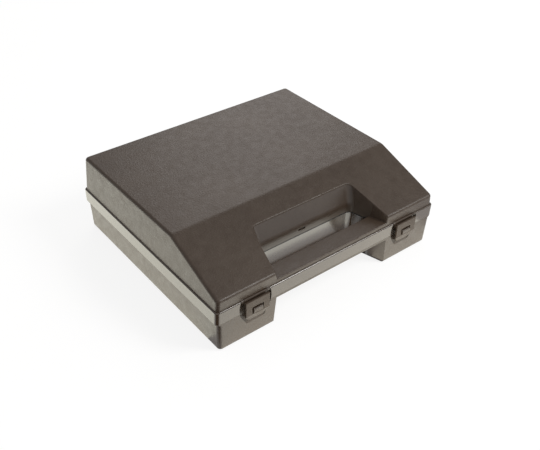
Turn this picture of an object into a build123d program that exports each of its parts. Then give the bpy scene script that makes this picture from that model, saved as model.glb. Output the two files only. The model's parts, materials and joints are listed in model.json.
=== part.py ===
import os
from math import atan, cos, degrees, hypot, radians, sin, tan

from build123d import *

# Plastic transit case with a moulded grip, two front latches and a rear pin hinge.
# Millimetres. Origin: centre of the flat underside. +X right, +Y back, +Z up.

# Overall sizes of the closed case
case_width = 270.0
case_depth = 239.5
base_height = 47.0
lid_height = 38.0

# Base: collar band under the rim, and the drafted body below it
band_height = 14.0
band_step = 1.8
band_step_drop = 2.2
band_corner = 4.0
body_corner = 4.0
base_side_draft = 1.4
base_front_draft = 2.1
base_bottom_radius = 3.0
ledge_flat = 0.1
floor_thickness = 2.5
cavity_draft = 0.8
cavity_corner = 4.0
floor_corner_radius = 2.0

# Lid: flat top, sloping front and a low upright lip
ledge_width = 1.5
lid_wall = 2.0
lid_corner = 4.0
lid_edge_radius = 3.0
lid_crease_radius = 10.0
lid_side_draft = 3.6
lid_back_draft = 4.8
lip_height = 11.0
crease_from_front = 73.8

# Locating tongue that stands up from the base inside the lid wall
tongue_clearance = 0.3
tongue_thickness = 1.4
tongue_height = 3.0
tongue_lead_in = 0.5

# Hand opening behind the grip bar, given at the parting level
grip_to_latch = 11.8
grip_side_slope = 0.27
grip_back_from_front = 42.6
grip_corner = 6.4
grip_lid_side_draft = 11.3
grip_lid_low_draft = 2.0
grip_lid_back_draft = 21.2
grip_bend_height = 10.0
grip_bend_reach = 4.0
grip_bend_steps = 4
grip_base_side_draft = 4.5
grip_base_back_draft = 3.0
grip_edge_radius = 1.0

# Grip bar: a trough in the base, capped by a strip of the lid
bar_depth = 20.7
bar_height = 17.1
bar_cap_height = 4.0
bar_wall = 2.5
bar_edge_radius = 2.5
bar_cap_edge_radius = 0.9

# Slot through the lid's back wall of the hand opening
slot_offset = -5.0
slot_length = 8.4
slot_height = 2.0
slot_rise = 4.7

# Latches
latch_from_side = 41.9
latch_width = 26.2
latch_plate_thickness = 1.8
latch_plate_proud = 3.3
latch_top_drop = 1.4
latch_straight_height = 17.2
latch_height = 23.3
latch_tip_half = 8.1
latch_grip_drop = 16.0
latch_grip_angle = 20.0
latch_edge_radius = 0.5
window_width = 12.4
window_height = 7.2
window_drop = 7.6
window_corner = 0.8
window_edge_radius = 0.3

# Latch hinge: a steel pin through two lid ears and the latch knuckle
latch_axis_from_front = 1.3
latch_axis_drop = 1.0
latch_knuckle_radius = 1.4
latch_pin_radius = 0.7
latch_ear_width = 3.0
latch_side_gap = 0.3
latch_arm_thickness = 1.8
latch_arm_drop = 5.0

# Pocket in the base behind each latch, and the catch that stands in it
pocket_depth = 4.2
pocket_side_margin = 2.9
pocket_bulge = 1.6
pocket_straight_height = 18.0
pocket_height = 29.5
pocket_tip_half = 9.5
pocket_ramp_start = 19.0
pocket_wall = 2.5
catch_width = 10.0
catch_height = 4.7
catch_clearance = 0.3
catch_proud = 0.9
catch_slope = 0.8
catch_relief = 0.7

# Rear hinges: two groups of three knuckles, each on one steel pin
hinge_from_side = 55.0
hinge_axis_behind = 4.2
hinge_knuckle_radius = 3.3
hinge_knuckle_length = 13.0
hinge_gap = 0.4
hinge_pin_radius = 1.25
hinge_pin_recess = 0.5
hinge_arm_clearance = 0.3
hinge_web_drop = 10.3
hinge_web_angle = 45.0
pin_clearance = 0.05
pin_chamfer = 0.2

# Foam linings, with the gap that keeps them clear of the walls
foam_gap = 0.3
base_foam_thickness = 25.0
lid_foam_thickness = 25.0
foam_corner = 6.0

# Levels and places that follow from the sizes above
front = -case_depth / 2
back = case_depth / 2
rim = base_height
top = base_height + lid_height
latch_from_centre = case_width / 2 - latch_from_side
hinge_from_centre = case_width / 2 - hinge_from_side
grip_front_half = latch_from_centre - latch_width / 2 - grip_to_latch
ledge_edge_radius = ledge_width - ledge_flat
rim_inner = ledge_width + lid_wall + tongue_clearance + tongue_thickness
grip_wall = lid_wall + tongue_clearance + tongue_thickness
slope_rise = (lid_height - lip_height) / (crease_from_front - ledge_width)
slope_angle = degrees(atan(slope_rise))
hinge_y = back + hinge_axis_behind
latch_axis_y = front + latch_axis_from_front
latch_axis_z = rim - latch_axis_drop
plate_front = front - latch_plate_proud
plate_back = plate_front + latch_plate_thickness
plate_top = rim - latch_top_drop
window_top = plate_top - window_drop
window_bottom = window_top - window_height
barrel_half = latch_width / 2 + pocket_side_margin - latch_side_gap
knuckle_half = barrel_half - latch_ear_width - latch_side_gap
overshoot = 1.0
cutter_reach = 12.0
hair = 0.01


def plan(z, side, front_inset, back_inset, radius):
    """Rounded rectangle of the case's plan at height z, inset on each side."""
    width = case_width - 2 * side
    depth = case_depth - front_inset - back_inset
    place = Pos(0, (front_inset - back_inset) / 2, z)
    return (place * RectangleRounded(width, depth, radius)).face()


def slab(x0, x1, y0, y1, z0, z1):
    """Box between two corners."""
    box = Box(x1 - x0, y1 - y0, z1 - z0)
    return Pos((x0 + x1) / 2, (y0 + y1) / 2, (z0 + z1) / 2) * box


def side_profile(points, half_length):
    """Prism of a (y, z) outline, centred on x = 0."""
    face = (Plane.YZ * Polygon(*points, align=None)).face()
    return extrude(face, half_length, both=True)


def rod(radius, x0, x1, y, z):
    """Cylinder along X."""
    return Pos((x0 + x1) / 2, y, z) * Rot(0, 90, 0) * Cylinder(radius, x1 - x0)


def flat_walled(low, high):
    """Solid with flat walls between two outlines of matching corners."""
    count = len(low)
    walls = [Face(Wire.make_polygon([low[i], low[(i + 1) % count], high[(i + 1) % count], high[i]]))
             for i in range(count)]
    caps = [Face(Wire.make_polygon(low)), Face(Wire.make_polygon(high))]
    return Solid(Shell(walls + caps))


def base_side_inset(z):
    return band_step + (rim - z) * tan(radians(base_side_draft))


def base_front_inset(z):
    return (rim - z) * tan(radians(base_front_draft))


def grip_corners(z, side_reach, back_reach, grow):
    """Corners of the hand opening at one height, from the front plane to its back wall."""
    half = grip_front_half + grow * hypot(1, grip_side_slope) + side_reach
    back_wall = grip_back_from_front + grow + back_reach
    half_front = half + grip_side_slope * cutter_reach
    half_back = half - grip_side_slope * back_wall
    return [
        Vector(-half_front, front - cutter_reach, z),
        Vector(half_front, front - cutter_reach, z),
        Vector(half_back, front + back_wall, z),
        Vector(-half_back, front + back_wall, z),
    ]


def grip_outline(z, side_reach, back_reach, grow):
    """Outline of the hand opening at one height, with its back corners rounded."""
    face = make_face(Polyline(*grip_corners(0, side_reach, back_reach, grow), close=True))
    ends = [v for v in face.vertices() if v.Y > front]
    return Pos(0, 0, z) * fillet(ends, grip_corner + grow)


def back_lean(rise):
    """How far the opening's back wall in the lid has gone back: upright first, then leaning."""
    low = tan(radians(grip_lid_low_draft))
    high = tan(radians(grip_lid_back_draft))
    into = min(max(rise - grip_bend_height + grip_bend_reach, 0), 2 * grip_bend_reach)
    past = max(rise - grip_bend_height - grip_bend_reach, 0)
    return low * rise + (high - low) * (into ** 2 / (4 * grip_bend_reach) + past)


def lid_grip(grow):
    """Hand opening in the lid, wider away from the rim."""
    start = grip_bend_height - grip_bend_reach
    bend = [start + 2 * grip_bend_reach * step / grip_bend_steps for step in range(grip_bend_steps + 1)]
    rises = [0, *bend, lid_height + overshoot]
    side = tan(radians(grip_lid_side_draft))
    outlines = [grip_outline(rim + rise, rise * side, back_lean(rise), grow) for rise in rises]
    return loft(outlines, ruled=True)


def grip_block(z0, z1, side_draft, back_draft, grow):
    """Flat-walled part of the hand opening between two heights, wider away from the rim."""
    side = tan(radians(side_draft))
    rear = tan(radians(back_draft))
    outlines = [grip_corners(z, abs(z - rim) * side, abs(z - rim) * rear, grow) for z in (z0, z1)]
    block = flat_walled(*outlines)
    ends = [e for e in block.edges() if e.center().Y > front]
    upright = [e for e in ends if abs((e @ 0).Z - (e @ 1).Z) > overshoot]
    return fillet(upright, grip_corner + grow)


def base_grip(grow):
    return grip_block(rim, -overshoot, grip_base_side_draft, grip_base_back_draft, grow)


def tongue_grip(grow):
    """Foot of the lid's hand opening, below the bend in its back wall."""
    high = rim + tongue_height + overshoot
    return grip_block(rim, high, grip_lid_side_draft, grip_lid_low_draft, grow)


def latch_places():
    """X of the left and right latches."""
    return (-latch_from_centre, latch_from_centre)


def hinge_places():
    """X of the left and right rear hinges."""
    return (-hinge_from_centre, hinge_from_centre)


def base_outer():
    """Drafted body with its collar band, before it is hollowed."""
    band_low = rim - band_height
    step_low = band_low - band_step_drop
    step_inset = base_side_inset(step_low)
    low = plan(0, base_side_inset(0), base_front_inset(0), base_side_inset(0), body_corner)
    step_face = plan(step_low, step_inset, base_front_inset(step_low), step_inset, body_corner)
    band_face = plan(band_low, 0, base_front_inset(band_low), 0, band_corner)
    rim_face = plan(rim, 0, 0, 0, band_corner)
    body = loft([low, step_face, band_face, rim_face], ruled=True)
    body = fillet(body.edges().group_by(Axis.Z)[0], base_bottom_radius)
    return fillet(body.edges().group_by(Axis.Z)[-1], ledge_edge_radius)


def base_cavity():
    """Inside of the base: a U round the hand opening, joined by the bar's trough."""
    drop = tan(radians(cavity_draft)) * (rim - floor_thickness)
    deep = rim_inner + drop
    low = plan(floor_thickness, deep, deep, deep, cavity_corner)
    high = plan(rim, rim_inner, rim_inner, rim_inner, cavity_corner)
    lift = extrude(high, overshoot)
    block = loft([low, high], ruled=True)
    block = fillet(block.edges().group_by(Axis.Z)[0], floor_corner_radius) + lift
    block -= base_grip(grip_wall)
    block -= extrude(base_grip(grip_wall).faces().sort_by(Axis.Z)[-1], 2 * overshoot)
    trough_half = grip_front_half + grip_wall + bar_wall
    trough_floor = rim - bar_height + floor_thickness
    trough = slab(-trough_half, trough_half, front + rim_inner, front + bar_depth - bar_wall,
                  trough_floor, rim + overshoot)
    block += trough
    for x in latch_places():
        half = latch_width / 2 + pocket_side_margin + pocket_bulge + pocket_wall
        block -= slab(x - half, x + half, front, front + pocket_depth + pocket_wall, 0, rim + 2 * overshoot)
    return block


def hand_recess():
    """Open space under and behind the grip bar."""
    half = grip_front_half + 2 * bar_depth
    level = rim - bar_height
    shoulder = level + grip_edge_radius
    face_y = front + base_front_inset(shoulder)
    bar = slab(-half, half, face_y, front + bar_depth, level, rim + overshoot)
    rear_edge = bar.edges().filter_by(Axis.X).group_by(Axis.Z)[0].sort_by(Axis.Y)[-1]
    bar = fillet(rear_edge, bar_edge_radius)
    front_edge = bar.edges().filter_by(Axis.X).group_by(Axis.Z)[0].sort_by(Axis.Y)[0]
    bar = fillet(front_edge, grip_edge_radius)
    bar += slab(-half, half, front - cutter_reach, face_y + grip_edge_radius, shoulder, rim + overshoot)
    space = base_grip(0)
    space += extrude(space.faces().sort_by(Axis.Z)[-1], overshoot)
    return space - bar


def lid_plan(z, wall, radius):
    """Plan of the lid at height z, offset inwards by wall."""
    rise = z - rim
    foot = ledge_width + wall
    side = foot + rise * tan(radians(lid_side_draft))
    rear = foot + rise * tan(radians(lid_back_draft))
    return plan(z, side, foot, rear, radius)


def tongue_form(wall):
    """Space within the lid's walls, round the hand opening, drawn in towards its crest."""
    crest = rim + tongue_height
    foot = lid_plan(rim, wall, lid_corner)
    shoulder = lid_plan(crest - tongue_lead_in, wall, lid_corner)
    top_edge = lid_plan(crest, wall + tongue_lead_in, lid_corner)
    block = loft([foot, shoulder], ruled=True) + loft([shoulder, top_edge], ruled=True)
    block += extrude(foot, -overshoot)
    grip = tongue_grip(wall)
    return block - grip - extrude(grip.faces().sort_by(Axis.Z)[0], 2 * overshoot, dir=(0, 0, -1))


def tongue():
    """Low wall that locates the lid, left out along the grip bar."""
    outer = lid_wall + tongue_clearance
    wall = tongue_form(outer) - tongue_form(outer + tongue_thickness)
    half = grip_front_half + grip_wall + 2 * bar_wall
    return wall - slab(-half, half, front, front + bar_depth + bar_wall, rim - 2 * overshoot, top)


def grip_back_wall(z):
    """Y of the hand opening's back wall in the lid at height z."""
    return front + grip_back_from_front + back_lean(z - rim)


def lid_slot():
    """Slot through the lid's back wall of the hand opening."""
    z0 = rim + slot_rise
    y0 = grip_back_wall(z0) - overshoot
    y1 = grip_back_wall(z0) + lid_wall + 2 * overshoot
    half = slot_length / 2
    return slab(slot_offset - half, slot_offset + half, y0, y1, z0, z0 + slot_height)


def pocket():
    """Shield-shaped hollow behind a latch, open at the rim and run out at its foot."""
    top_half = latch_width / 2 + pocket_side_margin
    mid = pocket_straight_height / 2
    z0 = rim + overshoot
    z1 = rim - pocket_straight_height
    z2 = rim - pocket_height
    side_top = (top_half, rim)
    side_mid = (top_half + pocket_bulge, rim - mid)
    side_low = (top_half, z1)
    outline = Polyline((-top_half, rim), (-top_half, z0), (top_half, z0), side_top)
    outline += ThreePointArc(side_top, side_mid, side_low)
    outline += Polyline(side_low, (pocket_tip_half, z2), (-pocket_tip_half, z2), (-top_half, z1))
    outline += ThreePointArc((-top_half, z1), (-side_mid[0], side_mid[1]), (-top_half, rim))
    sheet = Plane.XZ * make_face(outline)
    prism = extrude(Pos(0, front + pocket_depth, 0) * sheet, pocket_depth + overshoot, dir=(0, -1, 0))
    soften = [e for e in prism.edges().filter_by(Axis.Y) if e.center().Z < rim - mid]
    prism = fillet(soften, grip_corner / 2)
    depth = [
        (front - cutter_reach, z0),
        (front + pocket_depth, z0),
        (front + pocket_depth, rim - pocket_ramp_start),
        (front + base_front_inset(z2), z2),
        (front - cutter_reach, z2),
    ]
    return prism & side_profile(depth, top_half + 2 * pocket_bulge)


def catch():
    """Nub that stands out through the latch's window."""
    low = window_bottom + catch_clearance
    high = low + catch_height
    nose = plate_front - catch_proud
    root = front + pocket_depth + overshoot
    outline = [
        (root, low),
        (plate_back, low),
        (nose, low + catch_relief),
        (nose, high - catch_slope),
        (nose + catch_slope, high),
        (root, high),
    ]
    return side_profile(outline, catch_width / 2)


def hinge_span(index):
    """X range of one of a hinge's three knuckles, from its centre."""
    pitch = hinge_knuckle_length + hinge_gap
    middle = (index - 1) * pitch
    return middle - hinge_knuckle_length / 2, middle + hinge_knuckle_length / 2


def base_hinge(centre):
    """Outer two knuckles, carried by webs that run down the band."""
    parts = None
    root = back - ledge_edge_radius - overshoot
    lean = radians(hinge_web_angle)
    touch_y = hinge_y + hinge_knuckle_radius * sin(lean)
    touch_z = rim - hinge_knuckle_radius * cos(lean)
    web = [
        (root, rim - ledge_edge_radius),
        (hinge_y, rim - ledge_edge_radius),
        (touch_y, touch_z),
        (root, rim - hinge_web_drop),
    ]
    for index in (0, 2):
        x0, x1 = hinge_span(index)
        barrel = rod(hinge_knuckle_radius, centre + x0, centre + x1, hinge_y, rim)
        arm = Pos(centre + (x0 + x1) / 2, 0, 0) * side_profile(web, hinge_knuckle_length / 2)
        piece = barrel + arm
        parts = piece if parts is None else parts + piece
    return parts


def lid_hinge(centre):
    """Middle knuckle, on an arm that clears the base's ledge."""
    x0, x1 = hinge_span(1)
    barrel = rod(hinge_knuckle_radius, centre + x0, centre + x1, hinge_y, rim)
    wall_y = back - ledge_width - lid_wall / 2
    arm = slab(centre + x0, centre + x1, wall_y, hinge_y, rim + hinge_arm_clearance,
               rim + hinge_knuckle_radius)
    return barrel + arm


def hinge_bore(centre):
    reach = 2 * hinge_knuckle_length
    return rod(hinge_pin_radius + pin_clearance, centre - reach, centre + reach, hinge_y, rim)


def hinge_pin(centre):
    """Steel pin of one rear hinge."""
    half = hinge_span(2)[1] - hinge_pin_recess
    pin = rod(hinge_pin_radius, centre - half, centre + half, hinge_y, rim)
    return chamfer(pin.edges().filter_by(GeomType.CIRCLE), pin_chamfer)


def base_shell():
    """Lower shell with bar, tongue, catches and the outer hinge knuckles."""
    shell = base_outer() - base_cavity() - hand_recess()
    for x in latch_places():
        shell -= Pos(x, 0, 0) * pocket()
        shell += Pos(x, 0, 0) * catch()
    shell += tongue()
    for x in hinge_places():
        shell += base_hinge(x)
        shell -= hinge_bore(x)
    return shell


def lid_block(wall):
    """Lid form, or the space inside it when wall is more than nothing."""
    radius = lid_corner - wall / 2
    block = loft([lid_plan(rim, wall, radius), lid_plan(top - wall, wall, radius)], ruled=True)
    drop = wall / cos(radians(slope_angle))
    behind = 2 * crease_from_front
    start = rim + lip_height - drop - slope_rise * (ledge_width + cutter_reach)
    finish = rim + lip_height - drop + slope_rise * (behind - ledge_width)
    wedge = [
        (front - cutter_reach, start),
        (front + behind, finish),
        (front - cutter_reach, finish),
    ]
    return block - side_profile(wedge, case_width)


def along_x(shape, y, z):
    """Edges of a shape that run along X at one depth and height."""
    return [e for e in shape.edges()
            if all(abs((e @ t).Y - y) + abs((e @ t).Z - z) < hair for t in (0, 0.5, 1))]


def in_crease(edge):
    """True for the long borders of the rounded crease between top and slope."""
    crosses = (edge @ 0).X * (edge @ 1).X < 0
    return crosses and abs((edge @ 0.5).Y - front - crease_from_front) < lid_crease_radius


def soften_lid(block):
    """Round the lid's crease, then its outside edges."""
    block = fillet(along_x(block, front + crease_from_front, top), lid_crease_radius)
    high = [e for e in block.edges() if e.bounding_box().min.Z > rim + lip_height / 2]
    return fillet([e for e in high if not in_crease(e)], lid_edge_radius)


def opening_edges(shell):
    """Edges where the hand opening breaks through the slope and the lip."""
    limit = grip_front_half + lid_wall
    low = rim + bar_cap_height - overshoot / 2
    found = []
    for edge in shell.edges():
        middle = edge @ 0.5
        level = rim + lip_height + slope_rise * (middle.Y - front - ledge_width)
        on_slope = abs(middle.Z - level) < overshoot / 4
        on_lip = middle.Y < front + ledge_width + lid_edge_radius and middle.Z > low
        within = abs(middle.X) < limit and middle.Y < front + crease_from_front - lid_crease_radius
        if within and (on_slope or on_lip):
            found.append(edge)
    return found


def latch_ears():
    """Two lid ears that carry a latch pin just under the lip."""
    ears = None
    for side in (-1, 1):
        inner = side * (knuckle_half + latch_side_gap)
        outer = side * barrel_half
        x0, x1 = min(inner, outer), max(inner, outer)
        ear = rod(latch_knuckle_radius, x0, x1, latch_axis_y, latch_axis_z)
        ear += slab(x0, x1, latch_axis_y, front + ledge_width + lid_wall, latch_axis_z,
                    rim + latch_knuckle_radius)
        ears = ear if ears is None else ears + ear
    return ears


def lid_shell():
    """Upper shell with hand opening, bar cap, latch ears and middle hinge knuckles."""
    outside = lid_block(0)
    outside = soften_lid(outside)
    opening = lid_grip(0)
    surround = lid_grip(lid_wall)
    cap_half = grip_front_half + 2 * bar_depth
    cap_zone = slab(-cap_half, cap_half, front - cutter_reach, front + bar_depth, rim - overshoot,
                    rim + bar_cap_height)
    hollow = lid_block(lid_wall) - surround
    shell = outside - hollow
    shell -= opening - cap_zone
    shell = fillet(opening_edges(shell), grip_edge_radius)
    cap_rear_edge = along_x(shell, front + bar_depth, rim + bar_cap_height)
    shell = fillet(cap_rear_edge, bar_cap_edge_radius)
    channel_half = grip_front_half + lid_wall + bar_wall
    channel = slab(-channel_half, channel_half, front + ledge_width + lid_wall,
                   front + bar_depth - lid_wall, rim - overshoot, rim + bar_cap_height - lid_wall)
    shell -= channel
    shell -= lid_slot()
    for x in latch_places():
        relief = latch_knuckle_radius + latch_side_gap
        shell -= Pos(x, 0, 0) * rod(relief, -knuckle_half - latch_side_gap, knuckle_half + latch_side_gap,
                                    latch_axis_y, latch_axis_z)
        shell += Pos(x, 0, 0) * latch_ears()
        shell -= rod(latch_pin_radius + pin_clearance, x - latch_width, x + latch_width,
                     latch_axis_y, latch_axis_z)
    for x in hinge_places():
        shell += lid_hinge(x)
        shell -= hinge_bore(x)
    return shell


def in_window(point):
    """True for a point on the border of the latch's window."""
    across = abs(point.X) < window_width / 2 + window_edge_radius
    return across and window_bottom - window_edge_radius < point.Z < window_top + window_edge_radius


def round_plate(plate, crease):
    """Round the plate's front border, but not the crease where its grip turns inwards."""
    faces = [f for f in plate.faces() if f.normal_at().Y < -0.5]
    border = [e for f in faces for e in f.outer_wire().edges() if abs((e @ 0.5).Z - crease) > hair]
    return fillet(border, latch_edge_radius)


def latch():
    """Latch plate with its window, inturned grip, arms and knuckle."""
    half = latch_width / 2
    z1 = plate_top - latch_straight_height
    z2 = plate_top - latch_height
    outline = [
        (-half, plate_top),
        (half, plate_top),
        (half, z1),
        (latch_tip_half, z2),
        (-latch_tip_half, z2),
        (-half, z1),
    ]
    sheet = Pos(0, front, 0) * (Plane.XZ * Polygon(*outline, align=None))
    shield = extrude(sheet.face(), cutter_reach, both=True)
    grip_z = plate_top - latch_grip_drop
    run = (grip_z - z2) * tan(radians(latch_grip_angle))
    section = [
        (plate_front, plate_top),
        (plate_back, plate_top),
        (plate_back, grip_z),
        (plate_back + run, z2),
        (plate_front + run, z2),
        (plate_front, grip_z),
    ]
    plate = round_plate(side_profile(section, half) & shield, grip_z)
    opening = Pos(0, front, (window_top + window_bottom) / 2) * (
        Plane.XZ * RectangleRounded(window_width, window_height, window_corner))
    plate -= extrude(opening.face(), cutter_reach, both=True)
    window = [e for e in plate.edges() if abs((e @ 0.5).Y - plate_front) < hair and in_window(e @ 0.5)]
    plate = fillet(window, window_edge_radius)
    arm_back = latch_axis_y + latch_arm_thickness / 2
    arm_front = latch_axis_y - latch_arm_thickness / 2
    arm_low = latch_axis_z - latch_arm_drop
    arm = [
        (arm_back, latch_axis_z),
        (arm_front, latch_axis_z),
        (arm_front, arm_low + latch_arm_thickness),
        (plate_back - latch_plate_thickness / 2, arm_low + latch_arm_thickness),
        (plate_back - latch_plate_thickness / 2, arm_low),
        (arm_back, arm_low),
    ]
    body = plate + side_profile(arm, knuckle_half)
    body += rod(latch_knuckle_radius, -knuckle_half, knuckle_half, latch_axis_y, latch_axis_z)
    body -= rod(latch_pin_radius + pin_clearance, -half, half, latch_axis_y, latch_axis_z)
    return body


def latch_pin():
    """Thin steel pin of one latch."""
    pin = rod(latch_pin_radius, -barrel_half, barrel_half, latch_axis_y, latch_axis_z)
    return chamfer(pin.edges().filter_by(GeomType.CIRCLE), pin_chamfer)


def base_foam():
    """Foam on the base's floor, cut round the hand opening."""
    draft = tan(radians(cavity_draft)) * (rim - floor_thickness)
    side = rim_inner + draft + foam_gap
    face = plan(floor_thickness + foam_gap, side, pocket_depth + pocket_wall + foam_gap, side, foam_corner)
    pad = extrude(face, base_foam_thickness)
    pad = chamfer(pad.edges().group_by(Axis.Z)[0], floor_corner_radius)
    return pad - base_grip(grip_wall + foam_gap)


def lid_foam():
    """Foam under the flat top of the lid."""
    high = lid_height - lid_wall
    side = ledge_width + lid_wall + foam_gap + high * tan(radians(lid_side_draft))
    rear = ledge_width + lid_wall + foam_gap + high * tan(radians(lid_back_draft))
    start = crease_from_front + lid_wall * tan(radians(slope_angle / 2)) + foam_gap
    z = top - lid_wall - foam_gap - lid_foam_thickness
    return extrude(plan(z, side, start, rear, foam_corner), lid_foam_thickness)


def write(name, shape):
    shape.label = name
    export_step(shape, os.path.join("parts", name + ".step"))
    print(name, round(shape.volume, 1))


os.makedirs("parts", exist_ok=True)
write("base_shell", base_shell())
write("lid_shell", lid_shell())
for side, x in zip(("left", "right"), latch_places()):
    write(side + "_latch", Pos(x, 0, 0) * latch())
    write(side + "_latch_pin", Pos(x, 0, 0) * latch_pin())
for side, x in zip(("left", "right"), hinge_places()):
    write(side + "_hinge_pin", hinge_pin(x))
write("base_foam", base_foam())
write("lid_foam", lid_foam())
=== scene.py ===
import json
import math

import bmesh
import bpy
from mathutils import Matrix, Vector


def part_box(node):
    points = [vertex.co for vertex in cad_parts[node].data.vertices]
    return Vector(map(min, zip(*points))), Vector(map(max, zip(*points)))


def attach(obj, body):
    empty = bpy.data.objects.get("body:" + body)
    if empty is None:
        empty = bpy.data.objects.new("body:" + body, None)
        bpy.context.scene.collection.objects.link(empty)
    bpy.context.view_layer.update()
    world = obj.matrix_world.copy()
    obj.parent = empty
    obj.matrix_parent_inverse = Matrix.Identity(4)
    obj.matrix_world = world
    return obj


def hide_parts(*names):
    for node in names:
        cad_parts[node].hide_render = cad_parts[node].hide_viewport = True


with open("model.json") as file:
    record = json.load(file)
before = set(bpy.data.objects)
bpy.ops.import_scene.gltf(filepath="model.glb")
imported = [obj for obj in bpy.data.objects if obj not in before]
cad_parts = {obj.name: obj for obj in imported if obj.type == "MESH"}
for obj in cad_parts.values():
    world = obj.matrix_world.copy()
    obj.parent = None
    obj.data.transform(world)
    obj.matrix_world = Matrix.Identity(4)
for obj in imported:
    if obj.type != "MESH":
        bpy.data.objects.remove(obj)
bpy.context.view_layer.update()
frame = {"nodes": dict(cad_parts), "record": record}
print("frame loaded:", ", ".join(sorted(frame["nodes"])))


# shader maths, written as sums on sockets

class Link:
    def __init__(self, finish, socket):
        self.finish = finish
        self.socket = socket

    def math(self, operation, first, second):
        return self.finish.add("Math", {"operation": operation}, {0: first, 1: second})

    def __add__(self, other):
        return self.math("ADD", self, other)

    def __radd__(self, other):
        return self.math("ADD", other, self)

    def __sub__(self, other):
        return self.math("SUBTRACT", self, other)

    def __rsub__(self, other):
        return self.math("SUBTRACT", other, self)

    def __mul__(self, other):
        return self.math("MULTIPLY", self, other)

    def __rmul__(self, other):
        return self.math("MULTIPLY", other, self)

    def away(self):
        return self.math("ABSOLUTE", self, 0.0)


class Finish:
    def __init__(self, owner):
        self.owner = owner
        owner.use_nodes = True
        self.tree = owner.node_tree
        self.tree.nodes.clear()
        self.place = self.add("TexCoord", output="Object")

    def add(self, kind, settings=None, inputs=None, output=0):
        node = self.tree.nodes.new("ShaderNode" + kind)
        for key, value in (settings or {}).items():
            if key == "stops":
                for element, (position, colour) in zip(node.color_ramp.elements, value):
                    element.position = position
                    element.color = (*colour, 1)
            else:
                setattr(node, key, value)
        for key, value in (inputs or {}).items():
            if isinstance(value, Link):
                self.tree.links.new(value.socket, node.inputs[key])
            else:
                node.inputs[key].default_value = value
        return Link(self, node.outputs[output]) if len(node.outputs) else node

    def noise(self, scale, detail, roughness):
        return self.add("TexNoise", inputs={
            "Vector": self.place, "Scale": scale, "Detail": detail, "Roughness": roughness})

    def axis(self, name):
        return self.add("SeparateXYZ", inputs={"Vector": self.place}, output=name)

    def over(self, value, limit):
        return self.add("Math", {"operation": "GREATER_THAN"}, {0: value, 1: limit})

    def under(self, value, limit):
        return self.add("Math", {"operation": "LESS_THAN"}, {0: value, 1: limit})

    def blend(self, factor, first, second):
        return self.add("Mix", {"data_type": "RGBA"}, {0: factor, 6: first, 7: second}, output=2)

    def clamp(self, value, low, high, toLow=0.0, toHigh=1.0):
        return self.add("MapRange", {"clamp": True}, {
            "Value": value, "From Min": low, "From Max": high, "To Min": toLow, "To Max": toHigh})

    def bump(self, height, distance, strength=1.0, normal=None):
        inputs = {"Height": height, "Distance": distance, "Strength": strength}
        if normal:
            inputs["Normal"] = normal
        return self.add("Bump", inputs=inputs)

    def close(self, inputs):
        shader = self.add("BsdfPrincipled", inputs=inputs)
        return self.out(shader)

    def out(self, shader, kind="OutputMaterial"):
        self.add(kind, inputs={"Surface": shader})
        return self.owner


# moulded plastic: dark brown, a leathery mould grain, and a smooth collar band on the base

casePlastic = {
    "dark": (0.046, 0.029, 0.018, 1),
    "light": (0.063, 0.043, 0.029, 1),
    "rubbed": (0.130, 0.108, 0.088, 1),
    "roughness": (0.34, 0.46),
    "ior": 1.52,
    "grain": (640.0, 2.0, 0.55),     # about a millimetre and a half from bump to bump
    "grainDepth": 0.00026,
    "grainStrength": 0.9,
    "pits": (2400.0, 2.0, 0.5),
    "pitDepth": 0.00002,
    "pitStrength": 0.7,
    "flow": (16.0, 2.0, 0.4),
    "flowDepth": 0.0003,
    "mottle": (120.0, 4.0, 0.6),
    "bodyMix": (0.4, 0.35, 0.25),    # shares of flow, mottle and grain in the colour
    "bodyRange": (0.38, 0.62),
    "dullMix": (0.7, 0.3),           # shares of mottle and pits in the roughness
    "dullRange": (0.35, 0.65),
    "edgeRadius": 0.0004,
    "edgeSamples": 4,
    "edgeRange": (0.02, 0.22),       # how sharp an edge is when it starts to look rubbed, and fully
    "edgePatches": (0.35, 0.62, 0.25, 0.8),
    "edgePolish": 0.06,
    "bandLow": 0.0331,
    "bandHigh": 0.0475,
    "bandReach": (0.1325, 0.1190),   # the band is outside this, in X and in Y
    "shoulderFrom": (0.1181, 0.0454),   # its rounded top is outside and above this
    "catchAt": 0.0931,               # the latches' catches are not smooth
    "catchHalf": 0.0065,
    "shinyGrain": 0.12,              # how much of the grain is left where it is smooth
    "bandCoat": 0.35,
    "shoulderCoat": 1.0,
    "shinyRoughness": (0.34, 0.16),  # on the lid and on the base
    "shinyCoatIor": 1.5,
    "openingFrom": -0.1000,          # walls of the hand opening: where they begin,
    "openingBack": -0.0757,          # just behind the back wall at the parting,
    "openingHalf": 0.0696,           # just outside the side walls at the case's front,
    "openingTaper": 0.27,
    "frontAt": -0.11975,
    "backLean": (0.50, 0.052),       # and how far both lean out, on the lid and on the base
    "sideLean": (0.20, 0.079),
    "slopeStart": (-0.11825, 0.0568),   # they end just under the slope
    "slopeRise": 0.3734,
    "wallTilt": 0.5,                 # faces that tilt more than this aren't walls
    "openingCoat": (0.75, 1.0),      # on the lid and on the base
    "partingAt": 0.047,              # the joint between them, with a dark line of painted shade along it
    "partingShadeHalf": 0.0006,
    "partingShadeColour": (0.006, 0.005, 0.004, 1),
}
latchPlastic = dict(casePlastic, roughness=(0.46, 0.58), ior=1.42, grainDepth=0.00016)


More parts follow.
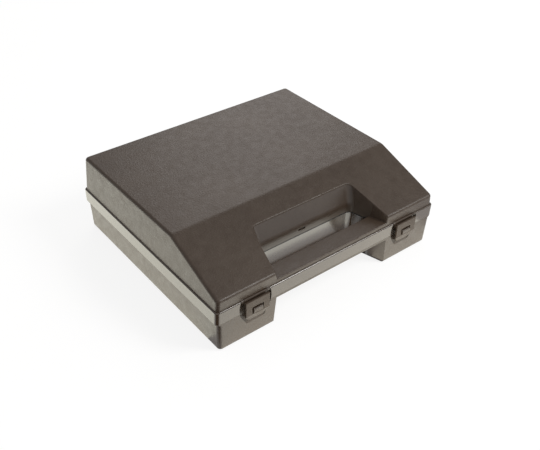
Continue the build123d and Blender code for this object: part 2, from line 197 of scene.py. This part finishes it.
def openingWalls(f, s, normal, onBase):
    along = f.axis("Y")
    height = f.axis("Z")
    reach = (height - s["partingAt"]).away()
    startY, startZ = s["slopeStart"]
    slope = (along - startY) * s["slopeRise"] + startZ
    half = reach * s["sideLean"][onBase] + s["openingHalf"] - (along - s["frontAt"]) * s["openingTaper"]
    behind = along - reach * s["backLean"][onBase]
    inDepth = f.over(along, s["openingFrom"]) * f.under(behind, s["openingBack"])
    tilt = f.add("SeparateXYZ", inputs={"Vector": normal}, output="Z").away()
    upright = f.under(tilt, s["wallTilt"])
    return f.under(f.axis("X").away() - half, 0.0) * inDepth * f.under(height, slope) * upright


def plasticFinish(name, s, hasBand=False):
    f = Finish(bpy.data.materials.new(name))
    grain = f.noise(*s["grain"])
    pits = f.noise(*s["pits"])
    flow = f.noise(*s["flow"])
    mottle = f.noise(*s["mottle"])
    rounded = f.add("Bevel", {"samples": s["edgeSamples"]}, {"Radius": s["edgeRadius"]})
    flat = f.add("NewGeometry", output="Normal")
    facing = f.add("VectorMath", {"operation": "DOT_PRODUCT"}, {0: rounded, 1: flat}, output="Value")
    edge = f.clamp(1 - facing, *s["edgeRange"]) * f.clamp(mottle, *s["edgePatches"])
    ofFlow, ofMottle, ofGrain = s["bodyMix"]
    lightness = f.clamp(flow * ofFlow + mottle * ofMottle + grain * ofGrain, *s["bodyRange"])
    body = f.blend(lightness, s["dark"], s["light"])
    ofMottle, ofPits = s["dullMix"]
    dull = f.clamp(mottle * ofMottle + pits * ofPits, *s["dullRange"], *s["roughness"])
    dull = dull - edge * s["edgePolish"]
    wavy = f.bump(flow, s["flowDepth"], normal=rounded)
    walls = openingWalls(f, s, flat, hasBand)
    # a thin near-black line at the parting on the opening walls: painted shade for the gap between lid
    # and base
    paintedJointShade = walls * f.under((f.axis("Z") - s["partingAt"]).away(), s["partingShadeHalf"])
    worn = f.blend(edge, body, s["rubbed"])
    inputs = {"Base Color": f.blend(paintedJointShade, worn, s["partingShadeColour"]), "IOR": s["ior"]}
    shiny = walls * (1 - paintedJointShade)
    coat = shiny * s["openingCoat"][hasBand]
    if hasBand:
        across, along = s["bandReach"]
        shoulder, shoulderLow = s["shoulderFrom"]
        height = f.axis("Z")
        sideways = f.axis("X").away()
        lengthways = f.axis("Y").away()
        outside = f.over(sideways, across) + f.over(lengthways, along)
        onShoulder = f.over(height, shoulderLow)
        outside = outside + f.over(lengthways, shoulder) * onShoulder
        besideCatch = f.over((sideways - s["catchAt"]).away(), s["catchHalf"])
        band = f.over(outside, 0.5) * f.over(height, s["bandLow"]) * f.under(height, s["bandHigh"])
        band = band * besideCatch
        shiny = shiny + band * (1 - walls)
        bandCoat = onShoulder * (s["shoulderCoat"] - s["bandCoat"]) + s["bandCoat"]
        coat = coat + band * (1 - walls) * bandCoat
    grain = grain * (1 - shiny * (1 - s["shinyGrain"]))
    shinyRoughness = s["shinyRoughness"][hasBand]
    inputs["Roughness"] = dull * (1 - shiny) + shiny * shinyRoughness
    inputs["Coat Weight"] = coat
    inputs["Coat Roughness"] = shinyRoughness
    inputs["Coat IOR"] = s["shinyCoatIor"]
    leathery = f.bump(grain, s["grainDepth"], s["grainStrength"], wavy)
    inputs["Normal"] = f.bump(pits, s["pitDepth"], s["pitStrength"], leathery)
    return f.close(inputs)


# pins: drawn wire, with lines along it

pinSteel = {
    "bright": (0.56, 0.56, 0.57, 1),
    "dull": (0.38, 0.37, 0.36, 1),
    "lineScale": (40.0, 9000.0, 9000.0),
    "lineDetail": 3.0,
    "lineDepth": 0.00001,
    "lineStrength": 0.6,
    "stain": (420.0, 4.0, 0.65),
    "stainRange": (0.4, 0.7),
    "roughness": (0.3, 0.7, 0.22, 0.42),
}


def steelFinish(name, s):
    f = Finish(bpy.data.materials.new(name))
    drawn = f.add("Mapping", inputs={"Vector": f.place, "Scale": s["lineScale"]})
    lines = f.add("TexNoise", inputs={"Vector": drawn, "Scale": 1.0, "Detail": s["lineDetail"]})
    stain = f.noise(*s["stain"])
    return f.close({
        "Base Color": f.blend(f.clamp(stain, *s["stainRange"]), s["bright"], s["dull"]),
        "Metallic": 1.0,
        "Roughness": f.clamp(lines * 0.5 + stain * 0.5, *s["roughness"]),
        "Normal": f.bump(lines, s["lineDepth"], s["lineStrength"]),
    })


# foam: open cells a millimetre across, with painted shade in the hollows

foamLook = {
    "strut": (0.062, 0.062, 0.067, 1),
    "hollowShade": (0.018, 0.018, 0.020, 1),
    "dusty": (0.088, 0.087, 0.090, 1),
    "cellScale": 900.0,
    "cellWall": (0.02, 0.28),
    "cellDepth": 0.0006,
    "cellStrength": 0.7,
    "patch": (30.0, 4.0, 0.6),
    "dustRange": (0.45, 0.7, 0.0, 0.7),
    "roughness": (0.3, 0.7, 0.88, 0.98),
    "sheen": 0.15,
    "specular": 0.2,
}


def foamFinish(name, s):
    f = Finish(bpy.data.materials.new(name))
    cells = f.add("TexVoronoi", {"feature": "DISTANCE_TO_EDGE"}, {
        "Vector": f.place, "Scale": s["cellScale"], "Randomness": 1.0})
    wall = f.clamp(cells, *s["cellWall"], 1.0, 0.0)
    patch = f.noise(*s["patch"])
    dusted = f.blend(f.clamp(patch, *s["dustRange"]), s["strut"], s["dusty"])
    return f.close({
        # the cell hollows are darkened: painted shade in them
        "Base Color": f.blend(wall, s["hollowShade"], dusted),
        "Roughness": f.clamp(patch, *s["roughness"]),
        "Normal": f.bump(wall, s["cellDepth"], s["cellStrength"]),
        "Sheen Weight": s["sheen"],
        "Specular IOR Level": s["specular"],
    })


finishes = {
    "case_plastic": plasticFinish("mouldedPlastic", casePlastic),
    "base_plastic": plasticFinish("mouldedPlasticWithBand", casePlastic, hasBand=True),
    "latch_plastic": plasticFinish("latchPlastic", latchPlastic),
    "pin_steel": steelFinish("drawnSteel", pinSteel),
    "foam": foamFinish("openCellFoam", foamLook),
}
ownFinish = {
    "base_shell": "base_plastic",
    "left_latch": "latch_plastic",
    "right_latch": "latch_plastic",
}
for part in frame["record"]["subparts"]:
    node = frame["nodes"][part["node"]]
    finish = ownFinish.get(part["node"], part["material_slot"])
    for slot in node.material_slots:
        slot.material = finishes[finish]
print("finishes made:", ", ".join(finishes))


# convoluted foam: an egg-crate face cut from a block, as it is cut in pairs

foamWave = {
    "pitch": 0.026,       # from peak to peak
    "depth": 0.012,       # from peak to hollow
    "step": 0.0021,       # mesh size
    "margin": 0.006,      # the block starts this much larger, and is cut back
    "crown": 0.0002,      # the peaks stay this far inside the CAD block
    "weld": 1e-6,
    "sharpEdge": math.radians(38),
    "fill": 0.9,
}


def convoluted(name, nodeName, body, facesUp, s):
    low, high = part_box(nodeName)
    middle = (low + high) / 2
    spanX = high.x - low.x + 2 * s["margin"]
    spanY = high.y - low.y + 2 * s["margin"]
    peak = high.z - s["crown"] if facesUp else low.z + s["crown"]
    away = -1 if facesUp else 1
    farSide = (low.z if facesUp else high.z) + away * s["margin"]
    wave = 2 * math.pi / s["pitch"]

    bm = bmesh.new()
    bmesh.ops.create_grid(
        bm, x_segments=round(spanX / s["step"]), y_segments=round(spanY / s["step"]), size=0.5)
    bmesh.ops.scale(bm, vec=(spanX, spanY, 1), verts=bm.verts)
    bmesh.ops.translate(bm, vec=(middle.x, middle.y, peak), verts=bm.verts)
    for vert in bm.verts:
        height = 0.5 + 0.5 * math.cos(wave * vert.co.x) * math.cos(wave * (vert.co.y - middle.y))
        vert.co.z += away * s["depth"] * (1 - height)
    rim = [edge for edge in bm.edges if edge.is_boundary]
    skirt = bmesh.ops.extrude_edge_only(bm, edges=rim)["geom"]
    for vert in skirt:
        if isinstance(vert, bmesh.types.BMVert):
            vert.co.z = farSide
    bmesh.ops.holes_fill(bm, edges=[edge for edge in bm.edges if edge.is_boundary], sides=0)
    bmesh.ops.recalc_face_normals(bm, faces=bm.faces)
    block = meshObject(name + "Block", bm)

    bm = bmesh.new()
    bm.from_mesh(frame["nodes"][nodeName].data)
    bmesh.ops.remove_doubles(bm, verts=bm.verts, dist=s["weld"])
    cutter = meshObject(name + "Cutter", bm)

    cut = block.modifiers.new("cut", "BOOLEAN")
    cut.operation = "INTERSECT"
    cut.solver = "EXACT"
    cut.object = cutter
    shown = bpy.context.evaluated_depsgraph_get()
    mesh = bpy.data.meshes.new_from_object(block.evaluated_get(shown))
    mesh.name = name
    piece = bpy.data.objects.new(name, mesh)
    bpy.context.scene.collection.objects.link(piece)
    for spent in (block, cutter):
        bpy.data.objects.remove(spent)
    mesh.materials.clear()
    mesh.materials.append(finishes["foam"])
    mesh.shade_smooth()
    mesh.set_sharp_from_angle(angle=s["sharpEdge"])
    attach(piece, body)
    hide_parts(nodeName)
    print(name, len(mesh.polygons), "faces")


def meshObject(name, bm):
    mesh = bpy.data.meshes.new(name)
    bm.to_mesh(mesh)
    bm.free()
    made = bpy.data.objects.new(name, mesh)
    bpy.context.scene.collection.objects.link(made)
    return made


convoluted("baseFoamSheet", "base_foam", "base", True, foamWave)
convoluted("lidFoamSheet", "lid_foam", "lid", False, foamWave)
print("foam cut")


# floor: white to the camera, and it keeps the case's shadow

floorLook = {
    "size": 12.0,
    "drop": 0.0002,
    "colour": (0.94, 0.94, 0.94, 1),
    "fleck": (0.8, 0.8, 0.8, 1),
    "speck": (60.0, 4.0, 0.6),
    "speckRange": (0.3, 0.7, 0.0, 0.04),
    "shadowShare": 0.24,
    "strength": 1.1,      # with the matte share's light added, the open floor is just white
}


def makeFloor(s):
    bm = bmesh.new()
    bmesh.ops.create_grid(bm, x_segments=1, y_segments=1, size=s["size"] / 2)
    bmesh.ops.translate(bm, vec=(0, 0, -s["drop"]), verts=bm.verts)
    floor = meshObject("floor", bm)
    f = Finish(bpy.data.materials.new("paperFloor"))
    speck = f.clamp(f.noise(*s["speck"]), *s["speckRange"])
    paper = f.blend(speck, s["colour"], s["fleck"])
    matte = f.add("BsdfDiffuse", inputs={"Color": paper})
    white = f.add("Emission", inputs={"Color": (1, 1, 1, 1), "Strength": s["strength"]})
    seen = f.add("LightPath", output="Is Camera Ray")
    mirrored = f.add("LightPath", output="Is Glossy Ray")
    through = f.add("LightPath", output="Is Transmission Ray")
    share = (seen + mirrored + through) * (1 - s["shadowShare"])
    floor.data.materials.append(f.out(
        f.add("MixShader", inputs={0: share, 1: matte, 2: white})))


makeFloor(floorLook)


# black cards, seen only in reflections, that paint shade into them: beside the camera for
# the near corner, and as the deep shadow on the floor of the hand opening

shadeCards = {
    "cornerShadeCard": {"low": (-0.50, -0.50), "high": (-0.136, -0.120), "height": 0.001},
    "openingShadeCard": {"low": (-0.070, -0.097), "high": (0.070, -0.078), "height": 0.0005},
}
cardLook = {
    "black": (0.004, 0.004, 0.004, 1),
    "grey": (0.01, 0.01, 0.01, 1),
    "weave": (300.0, 2.0, 0.5),
}


def makeCard(name, s, finish):
    bm = bmesh.new()
    (lowX, lowY), (highX, highY) = s["low"], s["high"]
    bmesh.ops.create_grid(bm, x_segments=1, y_segments=1, size=0.5)
    bmesh.ops.scale(bm, vec=(highX - lowX, highY - lowY, 1), verts=bm.verts)
    bmesh.ops.translate(bm, vec=((lowX + highX) / 2, (lowY + highY) / 2, s["height"]), verts=bm.verts)
    card = meshObject(name, bm)
    card.data.materials.append(finish)
    card.visible_camera = card.visible_diffuse = card.visible_shadow = False


def shadeSheetFinish(name, s):
    f = Finish(bpy.data.materials.new(name))
    weave = f.blend(f.noise(*s["weave"]), s["black"], s["grey"])
    return f.out(f.add("BsdfDiffuse", inputs={"Color": weave}))


# a near-black sheet that only reflections see: painted shade
paintedShadeSheet = shadeSheetFinish("paintedShadeSheet", cardLook)
for cardName, settings in shadeCards.items():
    makeCard(cardName, settings, paintedShadeSheet)


# soft light: two panels that lie beside the case, a key lamp in front, a weak one behind
# and a pale room

lamps = {
    "leftTable": {"at": (-0.195, 0.155, 0.002), "aim": (-0.195, 0.155, 1), "size": (0.13, 0.51),
                  "level": 1.2, "tint": (1.0, 0.985, 0.78)},
    "frontTable": {"at": (0.01, -0.163, 0.002), "aim": (0.01, -0.163, 1), "size": (0.28, 0.115),
                   "level": 1.25, "tint": (1.0, 0.975, 0.82)},
    "window": {"at": (0.79, -0.96, 1.22), "aim": (0, -0.10, 0.05), "size": (0.5, 0.75),
               "level": 12.0, "tint": (1.0, 0.98, 0.95)},
    "backPanel": {"at": (1.0, 1.3, 1.1), "aim": (0, 0, 0.05), "size": (0.9, 1.2),
                  "level": 1.7, "tint": (1.0, 0.95, 0.92)},
}
room = {
    "light": 0.45,
    "seen": 1.0,
    "mirrored": (0.45, 0.95, 0.35, 0.46),   # two heights, and its level in reflections at each
}


def makeLamp(name, s):
    data = bpy.data.lights.new(name, "AREA")
    data.shape = "RECTANGLE"
    data.size, data.size_y = s["size"]
    data.color = s["tint"]
    data.energy = math.pi * s["size"][0] * s["size"][1] * s["level"]   # level 1 looks white
    lamp = bpy.data.objects.new(name, data)
    lamp.location = s["at"]
    lamp.rotation_euler = (Vector(s["aim"]) - Vector(s["at"])).to_track_quat("-Z", "Y").to_euler()
    lamp.visible_camera = False
    bpy.context.scene.collection.objects.link(lamp)


def makeRoom(s):
    f = Finish(bpy.data.worlds.new("paleRoom"))
    upwards = f.add("SeparateXYZ", inputs={"Vector": f.add("TexCoord", output="Generated")}, output="Z")
    mirrored = f.clamp(upwards, *s["mirrored"])
    seen = f.add("LightPath", output="Is Camera Ray") + f.add("LightPath", output="Is Transmission Ray")
    glossy = f.add("LightPath", output="Is Glossy Ray")
    level = s["seen"] * seen + mirrored * glossy + s["light"] * (1 - f.over(seen + glossy, 0.5))
    shine = f.add("Background", inputs={"Color": (1, 1, 1, 1), "Strength": level})
    bpy.context.scene.world = f.out(shine, "OutputWorld")


for lampName, settings in lamps.items():
    makeLamp(lampName, settings)
makeRoom(room)
print("lights set")


# camera, where the photograph was taken from

view = {
    "at": (-0.38656, -0.49717, 0.48164),
    "turn": (53.0897, -0.8346, -38.2056),
    "lens": 49.5,
    "shift": (0.00625, 0.00073),
    "clip": (0.01, 50),
}
cameraData = bpy.data.cameras.new("photoView")
cameraData.lens = view["lens"]
cameraData.shift_x, cameraData.shift_y = view["shift"]
cameraData.clip_start, cameraData.clip_end = view["clip"]
camera = bpy.data.objects.new("photoView", cameraData)
camera.location = view["at"]
camera.rotation_euler = [math.radians(angle) for angle in view["turn"]]
bpy.context.scene.collection.objects.link(camera)
bpy.context.scene.camera = camera
bpy.context.scene.view_settings.view_transform = "Standard"

print("camera set")
